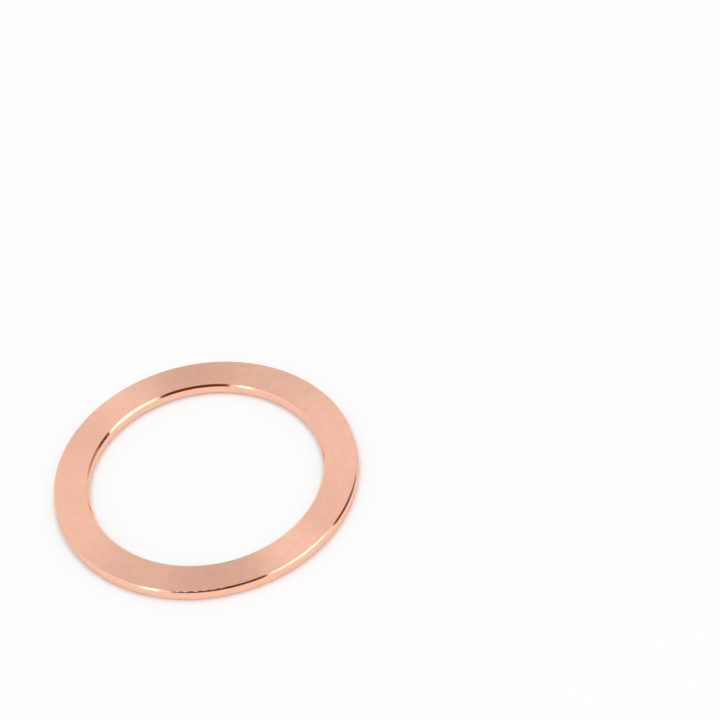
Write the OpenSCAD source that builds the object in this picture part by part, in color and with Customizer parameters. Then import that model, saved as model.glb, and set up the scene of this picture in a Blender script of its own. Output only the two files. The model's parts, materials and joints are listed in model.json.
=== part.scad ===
// Flat ring gasket of soft copper for a 70 mm knife-edge vacuum flange.
// The ring lies flat. The origin is the centre of its lower face, with the axis along +Z.

/* [Ring] */
// Outer diameter, which the recess of the flange centres (mm)
outer_d = 48.2; // [44:0.1:60]
// Diameter of the bore (mm)
bore_d = 37.2; // [30:0.1:40]
// Thickness from the lower face to the upper face (mm)
thickness = 2; // [1.5:0.1:3]

/* [Edges] */
// Leg of the 45 degree chamfer on both edges of the rim (mm)
rim_chamfer = 0.25; // [0.1:0.05:0.6]
// Leg of the 45 degree chamfer on both edges of the bore (mm)
bore_chamfer = 0.35; // [0.1:0.05:0.6]

/* [Hidden] */
rim_r = outer_d / 2;
bore_r = bore_d / 2;
$fn = 180;

// Half of the ring's section, cut through its axis: a flat strip with its four corners turned off
module turned_section() {
    polygon([
        [bore_r + bore_chamfer, 0],
        [rim_r - rim_chamfer, 0],
        [rim_r, rim_chamfer],
        [rim_r, thickness - rim_chamfer],
        [rim_r - rim_chamfer, thickness],
        [bore_r + bore_chamfer, thickness],
        [bore_r, thickness - bore_chamfer],
        [bore_r, bore_chamfer],
    ]);
}

// The whole gasket, turned from one piece of soft copper
module gasket_ring() {
    color("#E3B097")
        rotate_extrude()
            turned_section();
}

gasket_ring();
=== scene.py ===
"""Looks of a flat copper gasket ring that lies on a pale studio table.

The ring is turned from one piece of soft copper. Its two faces keep the fine circular marks of the turning
tool, its rim and bore are turned smooth, and its four chamfers are polished. A Geometry Nodes tree revolves
the chamfered section with softened edges, and three procedural finishes cover it.
"""

import json
import math

import bpy
from mathutils import Matrix, Vector


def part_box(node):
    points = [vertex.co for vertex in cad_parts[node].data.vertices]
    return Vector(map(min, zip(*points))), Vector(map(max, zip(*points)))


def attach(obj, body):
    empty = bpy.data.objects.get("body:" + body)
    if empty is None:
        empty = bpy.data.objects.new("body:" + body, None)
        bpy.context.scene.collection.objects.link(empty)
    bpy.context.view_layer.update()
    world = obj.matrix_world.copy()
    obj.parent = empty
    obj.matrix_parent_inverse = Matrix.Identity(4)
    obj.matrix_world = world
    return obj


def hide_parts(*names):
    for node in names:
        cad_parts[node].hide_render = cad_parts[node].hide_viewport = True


MM = 0.001
NODE = "gasket_ring"

# Softened edges of the section, the most that each takes of a flat, and how finely the ring is divided
RIM_SOFTNESS = 0.016 * MM
BORE_SOFTNESS = 0.062 * MM
SOFTNESS_MOST = 0.33
EDGE_HOLD = 0.02 * MM
HOLD_MOST = 0.1
ROWS_PER_CORNER = 6
SEGMENTS = 1440
MERGE_WITHIN = 0.0001 * MM

# The stretch of the upper rim edge where the chamfer is cut short and the face ends in a scalloped lip. A
# scallop is at its least where its wave is below LIP_WAVE_LOW, and whole where it is above LIP_WAVE_HIGH
LIP_REACH = 0.105 * MM
LIP_FOOT = 0.025 * MM
LIP_SPACING = 1.4 * MM
LIP_AT = math.radians(250.3)
LIP_RISE = math.radians(6)
LIP_FADE = math.radians(18)
LIP_LEAST = 0.05
LIP_SEED = 4.0
LIP_DRIFT = 0.15
LIP_WAVE_LOW = -0.6
LIP_WAVE_HIGH = 0.9

# Names of the ring tree's inputs, and how close two numbers in the tree count as the same
SECTION_SIZES = ["Rim Radius", "Bore Radius", "Thickness", "Rim Chamfer", "Bore Chamfer"]
EDGE_SIZES = ["Rim Softness", "Bore Softness", "Edge Hold"]
LIP_SIZES = ["Lip Reach", "Lip Foot", "Lip Spacing", "Lip At", "Lip Rise", "Lip Fade", "Lip Least", "Seed"]
FINISHES = ["Face", "Wall", "Chamfer"]
SAME_WITHIN = 0.1

# The camera is a long lens that looks down on the table, with the ring at the lower left of the picture
CAMERA_PLACE = Vector((0.0, -318.4, 349.1)) * MM
CAMERA_TARGET = Vector((28.45, 18.3, 0.0)) * MM
CAMERA_ROLL = math.radians(-9.35)
LENS_MM = 150.0
SENSOR_MM = 36.0

# Studio: a pale table and an even world, with glowing and dark panels on a dome around the ring
WORLD_LEVEL = 1.0
WHITE = (1.0, 1.0, 1.0, 1.0)
TABLE_SIZE = 8.0
TABLE_COLOUR = (0.89, 0.89, 0.89)
TABLE_ROUGHNESS = 0.9
TABLE_SPECULAR = 0.1
TABLE_GLOW_IN_VIEW = 0.65
TABLE_GLOW_IN_METAL = 0.85
CONTACT_FADE = 0.8 * MM
PANEL_STEPS = 24
STRIP = (2.0, 2.0, 2.0)
CAMERA_FLAG = (0.125, 0.041, 0.015)

# The wall is darkest up to WALL_LOW_PART of its height, and the ceiling's dim part starts past its edge
WALL_LOW = (0.83, 0.83, 0.83)
WALL_HIGH = (1.0, 1.0, 1.0)
WALL_LOW_PART = 0.25
CEILING_EDGE = (1.0, 1.0, 1.0)
CEILING = (0.56, 0.56, 0.56)
CEILING_EDGE_PART = 0.25
CEILING_LEAN = math.radians(-15.3)

# The softbox has a brighter spot, whose middle is at SPOT_ACROSS of its width, and rises across it too
SOFTBOX_EDGE = (1.5, 1.5, 1.5)
SOFTBOX_MIDDLE = (2.82, 2.82, 2.82)
SPOT_ACROSS = 0.6
SPOT_SHARE = 0.87
SOFTBOX_RISE = 0.22

# The side flag turns paler in one quick step, whose place slants near its foot, and then towards its end
SIDE_FLAG_DARK = (0.18, 0.075, 0.045)
SIDE_FLAG_PALE = (0.9, 0.86, 0.82)
STEP_ACROSS = 0.36
STEP_SHARE = 0.42
STEP_SLOPE = 9.0
SLANT_BELOW = 0.3
SLANT_SLOPE = 1.1
END_ACROSS = 0.75

# Copper colours, as linear red, green and blue, and how wide their mottling and their dull patches are
FACE_COPPER = (0.955, 0.545, 0.395)
FACE_DULL = (0.93, 0.54, 0.397)
BRIGHT_COPPER = (0.97, 0.565, 0.41)
MOTTLE_SIZE = 1.2 * MM
PATCH_SIZE = 6 * MM
PATCH_SEED = 3.0

# Noise runs from 0 to 1 and is mostly near its middle: the spans of it for soft, clear and sharp changes
NOISE_SOFT = (0.2, 0.8)
NOISE_CLEAR = (0.25, 0.75)
NOISE_SHARP = (0.35, 0.65)


class Graph:
    """Writes a node tree as formulas: each method adds one node and returns what it puts out."""

    def __init__(self, tree):
        self.tree = tree

    def put(self, socket, value):
        """Joins a socket to another node's output, or sets it to a plain value."""
        if isinstance(value, bpy.types.NodeSocket):
            self.tree.links.new(value, socket)
        else:
            socket.default_value = value

    def node(self, kind, sockets=None, **settings):
        """Adds a node, with its settings and what its sockets hold."""
        made = self.tree.nodes.new(kind)
        for name, value in settings.items():
            setattr(made, name, value)
        for name, value in (sockets or {}).items():
            self.put(made.inputs[name], value)
        return made

    def math(self, operation, *values):
        made = self.node("ShaderNodeMath", operation=operation)
        for socket, value in zip(made.inputs, values):
            self.put(socket, value)
        return made.outputs[0]

    def vector(self, operation, *values):
        made = self.node("ShaderNodeVectorMath", operation=operation)
        for socket, value in zip(made.inputs, values):
            self.put(socket, value)
        return made.outputs["Value" if operation == "LENGTH" else "Vector"]

    def scaled(self, vector, factor):
        sockets = {"Vector": vector, "Scale": factor}
        return self.node("ShaderNodeVectorMath", sockets, operation="SCALE").outputs["Vector"]

    def mixed(self, a, b, share):
        """The vector that lies share of the way from a to b, by three nodes."""
        return self.vector("ADD", a, self.scaled(self.vector("SUBTRACT", b, a), share))

    def combined(self, x, y, z):
        return self.node("ShaderNodeCombineXYZ", {"X": x, "Y": y, "Z": z}).outputs["Vector"]

    def parts(self, vector):
        return self.node("ShaderNodeSeparateXYZ", {"Vector": vector}).outputs

    def ramp(self, value, start, end, low=0.0, high=1.0, kind="SMOOTHSTEP"):
        """value from start to end, turned into low to high and held there beyond."""
        sockets = {"Value": value, "From Min": start, "From Max": end, "To Min": low, "To Max": high}
        return self.node("ShaderNodeMapRange", sockets, interpolation_type=kind).outputs["Result"]

    def noise(self, vector, w=0.0, detail=2.0, roughness=0.5):
        """Noise in four dimensions, whose bumps are about one unit across, from 0 to 1."""
        sockets = {"Vector": vector, "W": w, "Scale": 1.0, "Detail": detail, "Roughness": roughness}
        return self.node("ShaderNodeTexNoise", sockets, noise_dimensions="4D").outputs[0]


def add_sockets(tree, names, kind, in_out="INPUT"):
    """Gives a node tree named inputs or outputs of one kind."""
    for name in names:
        tree.interface.new_socket(name, in_out=in_out, socket_type="NodeSocket" + kind)


def section_corner_group():
    """Node group: the place of one corner of the section, as (radius, 0, height), by its number.

    The corners go round the section from the lower bore edge, as in the part's own outline, with one more
    on the upper rim chamfer, at the foot of the lip. Where there is no lip, that corner lies in the plane
    of the chamfer. Beside the group comes a list of finishes, one for the flat that starts at each corner.
    """
    tree = bpy.data.node_groups.new("Section corner", "GeometryNodeTree")
    names = SECTION_SIZES + ["Lip Foot", "Lip"]
    add_sockets(tree, ["Corner"], "Int")
    add_sockets(tree, names, "Float")
    add_sockets(tree, ["Place"], "Vector", "OUTPUT")
    g = Graph(tree)
    given = g.node("NodeGroupInput").outputs
    rim, bore, top, rim_cut, bore_cut, lip_foot, lip = (given[name] for name in names)
    bore_flat = g.math("ADD", bore, bore_cut)
    rim_flat = g.math("SUBTRACT", rim, rim_cut)
    foot = g.math("ADD", lip, lip_foot)
    corners = [
        (bore_flat, 0.0, "Face"),
        (rim_flat, 0.0, "Chamfer"),
        (rim, rim_cut, "Wall"),
        (rim, g.math("SUBTRACT", top, rim_cut), "Chamfer"),
        (g.math("ADD", rim_flat, foot), g.math("SUBTRACT", top, foot), "Chamfer"),
        (g.math("ADD", rim_flat, lip), top, "Face"),
        (bore_flat, top, "Chamfer"),
        (bore, g.math("SUBTRACT", top, bore_cut), "Wall"),
        (bore, bore_cut, "Chamfer"),
    ]
    chosen = g.node("GeometryNodeIndexSwitch", data_type="VECTOR")
    while len(chosen.index_switch_items) < len(corners):
        chosen.index_switch_items.new()
    g.put(chosen.inputs["Index"], g.math("FLOORED_MODULO", given["Corner"], len(corners)))
    for number, (radius, height, finish) in enumerate(corners):
        g.put(chosen.inputs[str(number)], g.combined(radius, 0.0, height))
    g.node("NodeGroupOutput", {"Place": chosen.outputs[0]})
    return tree, [finish for radius, height, finish in corners]


def lip_reach(g, given, outward, angle):
    """How far the lip reaches over the upper rim chamfer at each azimuth.

    It is a stretch of scallops, which rises up to the azimuth Lip At and fades more slowly past it.
    """
    away = g.math("SUBTRACT", angle, given["Lip At"])
    rise = g.ramp(away, g.math("MULTIPLY", given["Lip Rise"], -1.0), 0.0, kind="LINEAR")
    fade = g.ramp(away, given["Lip Fade"], 0.0, kind="LINEAR")
    in_stretch = g.math("MULTIPLY", rise, fade)
    scallops_per_turn = g.math("DIVIDE", given["Rim Radius"], given["Lip Spacing"])
    noise = g.noise(g.scaled(outward, scallops_per_turn), w=given["Seed"], detail=0.0)
    drift = g.ramp(noise, *NOISE_SOFT, -LIP_DRIFT, LIP_DRIFT)
    scallops = g.math("ADD", g.math("MULTIPLY", away, scallops_per_turn), drift)
    wave = g.math("COSINE", g.math("MULTIPLY", scallops, math.tau))
    share = g.ramp(wave, LIP_WAVE_LOW, LIP_WAVE_HIGH, given["Lip Least"], 1.0)
    return g.math("MULTIPLY", g.math("MULTIPLY", share, in_stretch), given["Lip Reach"])


def arc_reach(g, given, corner_place, shorter):
    """How far a corner's arc reaches along its two flats, which is more at the bore than at the rim.

    It takes at most a third of the shorter flat.
    """
    near_bore = g.math("MULTIPLY", given["Bore Chamfer"], 2.0)
    at_bore = g.math("COMPARE", g.parts(corner_place)["X"], given["Bore Radius"], near_bore)
    softness = g.ramp(at_bore, 0.0, 1.0, given["Rim Softness"], given["Bore Softness"], "LINEAR")
    return g.math("MINIMUM", softness, g.math("MULTIPLY", shorter, SOFTNESS_MOST))


def softened_section(g, given, corner_tree, row, lip):
    """The place of each row on the section, as (radius, 0, height).

    Six rows belong to each corner. The first and last lie on its two flats and keep them flat, and the
    four between make the short arc that softens the corner.
    """
    corner = g.math("FLOOR", g.math("DIVIDE", g.math("ADD", row, 0.5), ROWS_PER_CORNER))
    step = g.math("SUBTRACT", row, g.math("MULTIPLY", corner, ROWS_PER_CORNER))

    def corner_place(number):
        sizes = {name: given[name] for name in SECTION_SIZES + ["Lip Foot"]}
        sizes.update({"Corner": number, "Lip": lip})
        return g.node("GeometryNodeGroup", sizes, node_tree=corner_tree).outputs["Place"]

    before = corner_place(g.math("SUBTRACT", corner, 1))
    here = corner_place(corner)
    after = corner_place(g.math("ADD", corner, 1))
    back, ahead = g.vector("SUBTRACT", before, here), g.vector("SUBTRACT", after, here)
    shorter = g.math("MINIMUM", g.vector("LENGTH", back), g.vector("LENGTH", ahead))
    reach = arc_reach(g, given, here, shorter)
    hold = g.math("MINIMUM", given["Edge Hold"], g.math("MULTIPLY", shorter, HOLD_MOST))
    back, ahead = g.vector("NORMALIZE", back), g.vector("NORMALIZE", ahead)
    arc_start = g.vector("ADD", here, g.scaled(back, reach))
    arc_end = g.vector("ADD", here, g.scaled(ahead, reach))
    share = g.ramp(step, 1.0, ROWS_PER_CORNER - 2.0, kind="LINEAR")
    on_arc = g.mixed(g.mixed(arc_start, here, share), g.mixed(here, arc_end, share), share)
    is_first = g.math("COMPARE", step, 0.0, SAME_WITHIN)
    is_last = g.math("COMPARE", step, ROWS_PER_CORNER - 1.0, SAME_WITHIN)
    held_back = g.scaled(back, g.math("MULTIPLY", is_first, hold))
    held_ahead = g.scaled(ahead, g.math("MULTIPLY", is_last, hold))
    return g.vector("ADD", on_arc, g.vector("ADD", held_back, held_ahead))


def flat_number(g, row, flats):
    """Which flat of the section each face of the grid is part of, by the rows at its corners."""
    middle = g.math("SUBTRACT", row, (ROWS_PER_CORNER - 1) / 2)
    on_face = g.node("GeometryNodeFieldOnDomain", {"Value": middle}, domain="FACE").outputs[0]
    flat = g.math("FLOOR", g.math("DIVIDE", on_face, ROWS_PER_CORNER))
    return g.math("FLOORED_MODULO", flat, flats)


def with_attribute(g, geometry, name, value, kind, domain):
    """The geometry, with a named attribute on it."""
    sockets = {"Geometry": geometry, "Name": name, "Value": value}
    return g.node("GeometryNodeStoreNamedAttribute", sockets, data_type=kind, domain=domain).outputs[0]


def coated(g, given, geometry, finishes):
    """The geometry, with the material of its finish on each flat of the section."""
    flat = g.node("GeometryNodeInputNamedAttribute", {"Name": "flat"}, data_type="FLOAT").outputs[0]
    for number, name in enumerate(finishes):
        chosen = g.math("COMPARE", flat, float(number), SAME_WITHIN)
        sockets = {"Geometry": geometry, "Selection": chosen, "Material": given[name]}
        geometry = g.node("GeometryNodeSetMaterial", sockets).outputs[0]
    return geometry


def ring_tree():
    """Geometry Nodes tree: revolves the chamfered section, with each corner softened by a short arc."""
    corner_tree, finishes = section_corner_group()
    tree = bpy.data.node_groups.new("Turned ring", "GeometryNodeTree")
    add_sockets(tree, SECTION_SIZES + EDGE_SIZES + LIP_SIZES, "Float")
    add_sockets(tree, ["Segments"], "Int")
    add_sockets(tree, FINISHES, "Material")
    add_sockets(tree, ["Geometry"], "Geometry", "OUTPUT")
    g = Graph(tree)
    given = g.node("NodeGroupInput").outputs

    # A flat grid, from -0.5 to 0.5: its Y runs around the ring, and its X back through the section's rows,
    # so that the bent faces point outwards
    rows = len(finishes) * ROWS_PER_CORNER
    grid = g.node("GeometryNodeMeshGrid", {
        "Size X": 1.0, "Size Y": 1.0,
        "Vertices X": rows + 1, "Vertices Y": g.math("ADD", given["Segments"], 1)}).outputs
    spot = g.parts(g.node("GeometryNodeInputPosition").outputs[0])
    row = g.math("ROUND", g.math("MULTIPLY", g.math("SUBTRACT", 0.5, spot["X"]), rows))
    angle = g.math("MULTIPLY", g.math("ADD", spot["Y"], 0.5), math.tau)
    outward = g.combined(g.math("COSINE", angle), g.math("SINE", angle), 0.0)
    lip = lip_reach(g, given, outward, angle)
    section = g.parts(softened_section(g, given, corner_tree, row, lip))
    place = g.vector("ADD", g.scaled(outward, section["X"]), g.combined(0.0, 0.0, section["Z"]))

    # The grid is marked while it is flat, and then bent and closed
    marked = with_attribute(g, grid["Mesh"], "flat", flat_number(g, row, len(finishes)), "FLOAT", "FACE")
    marked = with_attribute(g, marked, "UVMap", grid["UV Map"], "FLOAT2", "CORNER")
    bent = g.node("GeometryNodeSetPosition", {"Geometry": marked, "Position": place}).outputs[0]
    closed = g.node("GeometryNodeMergeByDistance", {"Geometry": bent, "Distance": MERGE_WITHIN}).outputs[0]
    smooth = g.node("GeometryNodeSetShadeSmooth", {"Geometry": closed}).outputs[0]
    whole = g.node("GeometryNodeRealizeInstances", {"Geometry": smooth}).outputs[0]
    g.node("NodeGroupOutput", {"Geometry": coated(g, given, whole, finishes)})
    return tree


def plain_mesh(name, tree, values):
    """Runs a Geometry Nodes tree with these inputs and returns its result as a plain mesh object."""
    piece = bpy.data.objects.new(name, bpy.data.meshes.new(name))
    bpy.context.scene.collection.objects.link(piece)
    modifier = piece.modifiers.new("Turned", "NODES")
    modifier.node_group = tree
    sockets = {item.name: item.identifier for item in tree.interface.items_tree if item.in_out == "INPUT"}
    for label, value in values.items():
        modifier[sockets[label]] = value
    depsgraph = bpy.context.evaluated_depsgraph_get()
    mesh = bpy.data.meshes.new_from_object(
        piece.evaluated_get(depsgraph), preserve_all_data_layers=True, depsgraph=depsgraph)
    piece.modifiers.remove(modifier)
    piece.data = mesh
    mesh.name = name
    return piece


def bare_material(name):
    """A material without nodes, and the graph that writes them."""
    material = bpy.data.materials.new(name)
    material.use_nodes = True
    material.node_tree.nodes.clear()
    return material, Graph(material.node_tree)


def copper_colour(g, place, marks, copper, dull, contrast):
    """Copper with soft dull patches, which the mottling and the tool marks make lighter and darker."""
    patches = g.noise(g.scaled(place, 1 / PATCH_SIZE), w=PATCH_SEED)
    blended = g.mixed(copper, dull, g.ramp(patches, *NOISE_SHARP))
    mottle = g.noise(g.scaled(place, 1 / MOTTLE_SIZE), detail=4.0, roughness=0.75)
    by_mottle = g.ramp(mottle, *NOISE_SOFT, 1.0 - contrast, 1.0 + contrast, "LINEAR")
    by_marks = g.ramp(marks, *NOISE_SOFT, -contrast, contrast, "LINEAR")
    return g.scaled(blended, g.math("ADD", by_mottle, by_marks))


def copper_finish(name, copper, dull, roughness, spread, anisotropy, pitch, length, depth, contrast):
    """A finish of turned copper: tool marks that run around the ring, mottling, and soft dull patches.

    pitch and length are the size of a tool mark across and along its cut, and depth is how deep it is.
    contrast is how much the marks and the mottling change the colour.
    """
    material, g = bare_material(name)
    place = g.node("ShaderNodeTexCoord").outputs["Object"]
    spot = g.parts(place)
    level = g.combined(spot["X"], spot["Y"], 0.0)
    cut = g.math("DIVIDE", g.vector("LENGTH", level), pitch)
    along = g.scaled(g.vector("NORMALIZE", level), RIM_RADIUS / length)
    across = g.combined(0.0, 0.0, g.math("DIVIDE", spot["Z"], pitch))
    marks = g.noise(g.vector("ADD", along, across), w=cut, detail=3.0, roughness=0.6)
    rough = g.ramp(marks, *NOISE_CLEAR, roughness - spread, roughness + spread, "LINEAR")
    bump = g.node("ShaderNodeBump", {"Height": marks, "Distance": depth, "Strength": 1.0})
    tangent = g.node("ShaderNodeTangent", direction_type="UV_MAP", uv_map="UVMap")
    shader = g.node("ShaderNodeBsdfPrincipled", {
        "Base Color": copper_colour(g, place, marks, copper, dull, contrast), "Metallic": 1.0,
        "Roughness": rough, "Anisotropic": anisotropy,
        "Normal": bump.outputs[0], "Tangent": tangent.outputs[0]})
    g.node("ShaderNodeOutputMaterial", {"Surface": shader.outputs[0]})
    return material


def table_finish():
    """Matt pale paper, part of whose brightness is even, so that the ring's shadow on it stays light.

    The camera sees less of that even part than the metal's reflections do, which keeps the shadow in view.
    The even part fades out close to the ring, so that its dark line of contact stays.
    """
    material, g = bare_material("table_paper")
    radius = g.vector("LENGTH", g.node("ShaderNodeTexCoord").outputs["Object"])
    past_rim, past_bore = g.math("SUBTRACT", radius, RIM_RADIUS), g.math("SUBTRACT", BORE_RADIUS, radius)
    clear = g.ramp(g.math("MAXIMUM", past_rim, past_bore), 0.0, CONTACT_FADE)
    paper = g.node("ShaderNodeBsdfPrincipled", {
        "Base Color": (*TABLE_COLOUR, 1.0), "Roughness": TABLE_ROUGHNESS,
        "Specular IOR Level": TABLE_SPECULAR})
    glow = g.node("ShaderNodeEmission", {"Color": WHITE, "Strength": WORLD_LEVEL})
    path = g.node("ShaderNodeLightPath").outputs
    in_view = g.math("MULTIPLY", path["Is Camera Ray"], TABLE_GLOW_IN_VIEW)
    through = g.math("MAXIMUM", path["Is Glossy Ray"], path["Is Transmission Ray"])
    in_metal = g.math("MULTIPLY", through, TABLE_GLOW_IN_METAL)
    share = g.math("MULTIPLY", g.math("MAXIMUM", in_view, in_metal), clear)
    both = g.node("ShaderNodeMixShader", {"Fac": share})
    g.put(both.inputs[1], paper.outputs[0])
    g.put(both.inputs[2], glow.outputs[0])
    g.node("ShaderNodeOutputMaterial", {"Surface": both.outputs[0]})
    return material


def staged(name, mesh, material):
    """Adds a mesh that belongs to the studio and not to the ring."""
    mesh.materials.append(material)
    made = bpy.data.objects.new(name, mesh)
    bpy.context.scene.collection.objects.link(made)
    return made


def table():
    half = TABLE_SIZE / 2
    corners = [(-half, -half, 0), (half, -half, 0), (half, half, 0), (-half, half, 0)]
    mesh = bpy.data.meshes.new("table")
    mesh.from_pydata(corners, [], [(0, 1, 2, 3)])
    staged("table", mesh, table_finish())


def panel_finish(name, colour, far_colour):
    """An even glow, of the first colour where the panel's own share is 0 and the second where it is 1."""
    material, g = bare_material(name)
    share = g.node("ShaderNodeAttribute", attribute_name="share").outputs["Fac"]
    glow = g.node("ShaderNodeEmission", {"Color": g.mixed(colour, far_colour, share), "Strength": 1.0})
    g.node("ShaderNodeOutputMaterial", {"Surface": glow.outputs[0]})
    return material


def panel_mesh(name, distance, azimuths, elevations, share, lean):
    """A patch of a dome, between two azimuths and two elevations, with its share as an attribute."""
    turn = Matrix.Rotation(lean, 3, "Y")
    points, shares = [], []
    for row in range(PANEL_STEPS + 1):
        for column in range(PANEL_STEPS + 1):
            across, up = column / PANEL_STEPS, row / PANEL_STEPS
            azimuth = math.radians(azimuths[0] + (azimuths[1] - azimuths[0]) * across)
            elevation = math.radians(elevations[0] + (elevations[1] - elevations[0]) * up)
            flat = math.cos(elevation)
            toward = Vector((flat * math.cos(azimuth), flat * math.sin(azimuth), math.sin(elevation)))
            points.append(turn @ toward * distance)
            shares.append(share(across, up))
    width = PANEL_STEPS + 1
    corners = [row * width + column for row in range(PANEL_STEPS) for column in range(PANEL_STEPS)]
    mesh = bpy.data.meshes.new(name)
    mesh.from_pydata(points, [], [(k, k + 1, k + width + 1, k + width) for k in corners])
    mesh.attributes.new("share", "FLOAT", "POINT").data.foreach_set("value", shares)
    return mesh


def panel(name, distance, azimuths, elevations, colours, share, gives_light=True, lean=0.0):
    """A curved panel at a distance from the ring, between two azimuths and two elevations in degrees.

    Only reflections show it. share(across, up), for across and up from 0 to 1, is how much of its second
    colour it has there. One that gives no light is a card that the metal reflects, as a studio uses to give
    metal its dark edges. lean turns the whole panel about the Y axis.
    """
    mesh = panel_mesh(name, distance, azimuths, elevations, share, lean)
    card = staged(name, mesh, panel_finish(name, *colours))
    card.visible_camera = False
    card.visible_diffuse = gives_light
    card.visible_shadow = False


def held(value):
    """The value, held between 0 and 1."""
    return min(1.0, max(0.0, value))


def even(across, up):
    return 0.0


def above_low_part(across, up):
    return held((up - WALL_LOW_PART) / (1.0 - WALL_LOW_PART))


def inside_edge(across, up):
    return held(up / CEILING_EDGE_PART)


def spot_past_middle(across, up):
    spot = held(1.0 - 2.0 * math.hypot(across - SPOT_ACROSS, up - 0.5))
    return SPOT_SHARE * spot + SOFTBOX_RISE * across


def step_and_end(across, up):
    place = STEP_ACROSS + SLANT_SLOPE * max(0.0, SLANT_BELOW - up)
    step = held(STEP_SLOPE * (across - place) + 0.5)
    end = held((across - END_ACROSS) / (1.0 - END_ACROSS))
    return STEP_SHARE * step + (1.0 - STEP_SHARE) * end


def studio():
    """Table, world light, low wall, dim ceiling, softbox, strip light and the two flags.

    Each panel hangs at a distance of its own, and hides those behind it from the ring.
    """
    table()
    world = bpy.data.worlds.new("studio")
    bpy.context.scene.world = world
    world.use_nodes = True
    background = world.node_tree.nodes["Background"]
    background.inputs["Color"].default_value = WHITE
    background.inputs["Strength"].default_value = WORLD_LEVEL

    panel("low_wall", distance=1.35, azimuths=(-180, 180), elevations=(0, 27),
          colours=(WALL_LOW, WALL_HIGH), share=above_low_part, gives_light=False)
    panel("ceiling", distance=1.3, azimuths=(-180, 180), elevations=(57, 89.5),
          colours=(CEILING_EDGE, CEILING), share=inside_edge, gives_light=False, lean=CEILING_LEAN)
    panel("softbox", distance=1.25, azimuths=(-61, -10.5), elevations=(28, 68),
          colours=(SOFTBOX_EDGE, SOFTBOX_MIDDLE), share=spot_past_middle)
    panel("strip_light", distance=1.2, azimuths=(-150.5, -138.5), elevations=(18, 54),
          colours=(STRIP, STRIP), share=even)
    panel("camera_flag", distance=1.15, azimuths=(-130.5, -64.5), elevations=(35.5, 82),
          colours=(CAMERA_FLAG, CAMERA_FLAG), share=even, gives_light=False)
    panel("side_flag", distance=1.1, azimuths=(-10.5, 31), elevations=(9, 54),
          colours=(SIDE_FLAG_DARK, SIDE_FLAG_PALE), share=step_and_end, gives_light=False)


def camera():
    """The camera, as the picture was taken."""
    data = bpy.data.cameras.new("camera")
    data.lens = LENS_MM
    data.sensor_width = SENSOR_MM
    made = bpy.data.objects.new("camera", data)
    bpy.context.scene.collection.objects.link(made)
    level = (CAMERA_TARGET - CAMERA_PLACE).to_track_quat("-Z", "Y").to_matrix().to_4x4()
    made.matrix_world = Matrix.Translation(CAMERA_PLACE) @ level @ Matrix.Rotation(CAMERA_ROLL, 4, "Z")
    bpy.context.scene.camera = made


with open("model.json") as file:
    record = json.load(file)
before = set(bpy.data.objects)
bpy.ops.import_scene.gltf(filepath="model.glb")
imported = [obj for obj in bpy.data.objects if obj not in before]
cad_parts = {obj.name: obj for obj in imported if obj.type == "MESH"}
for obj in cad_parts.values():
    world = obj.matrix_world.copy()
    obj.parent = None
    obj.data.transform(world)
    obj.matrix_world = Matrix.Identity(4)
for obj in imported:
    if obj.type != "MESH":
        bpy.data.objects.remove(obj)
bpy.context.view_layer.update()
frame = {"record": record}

# The ring's sizes come from the frame: its height, and the mounts on its rim and bore
mounts = {mount["name"]: mount["dims"] for mount in frame["record"]["mounts"]}
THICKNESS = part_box(NODE)[1].z
RIM_RADIUS = mounts["rim"]["r_mm"] * MM
BORE_RADIUS = mounts["bore"]["r_mm"] * MM
RIM_CHAMFER = (THICKNESS - mounts["rim"]["length_mm"] * MM) / 2
BORE_CHAMFER = (THICKNESS - mounts["bore"]["length_mm"] * MM) / 2

camera()
studio()
face = copper_finish(
    "turned_face", FACE_COPPER, FACE_DULL, roughness=0.31, spread=0.03, anisotropy=1.0,
    pitch=0.06 * MM, length=5 * MM, depth=0.0006 * MM, contrast=0.08)
wall = copper_finish(
    "turned_wall", BRIGHT_COPPER, BRIGHT_COPPER, roughness=0.25, spread=0.02, anisotropy=0.7,
    pitch=0.08 * MM, length=12 * MM, depth=0.0003 * MM, contrast=0.008)
chamfer = copper_finish(
    "polished_chamfer", BRIGHT_COPPER, BRIGHT_COPPER, roughness=0.10, spread=0.01, anisotropy=0.3,
    pitch=0.1 * MM, length=12 * MM, depth=0.0002 * MM, contrast=0.008)
ring = plain_mesh("copper_ring", ring_tree(), {
    "Rim Radius": RIM_RADIUS, "Bore Radius": BORE_RADIUS, "Thickness": THICKNESS,
    "Rim Chamfer": RIM_CHAMFER, "Bore Chamfer": BORE_CHAMFER,
    "Rim Softness": RIM_SOFTNESS, "Bore Softness": BORE_SOFTNESS, "Edge Hold": EDGE_HOLD,
    "Lip Reach": LIP_REACH, "Lip Foot": LIP_FOOT, "Lip Spacing": LIP_SPACING, "Lip At": LIP_AT,
    "Lip Rise": LIP_RISE, "Lip Fade": LIP_FADE, "Lip Least": LIP_LEAST, "Seed": LIP_SEED,
    "Segments": SEGMENTS, "Face": face, "Wall": wall, "Chamfer": chamfer})
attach(ring, "root")
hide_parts(NODE)

bpy.context.scene.view_settings.view_transform = "Standard"
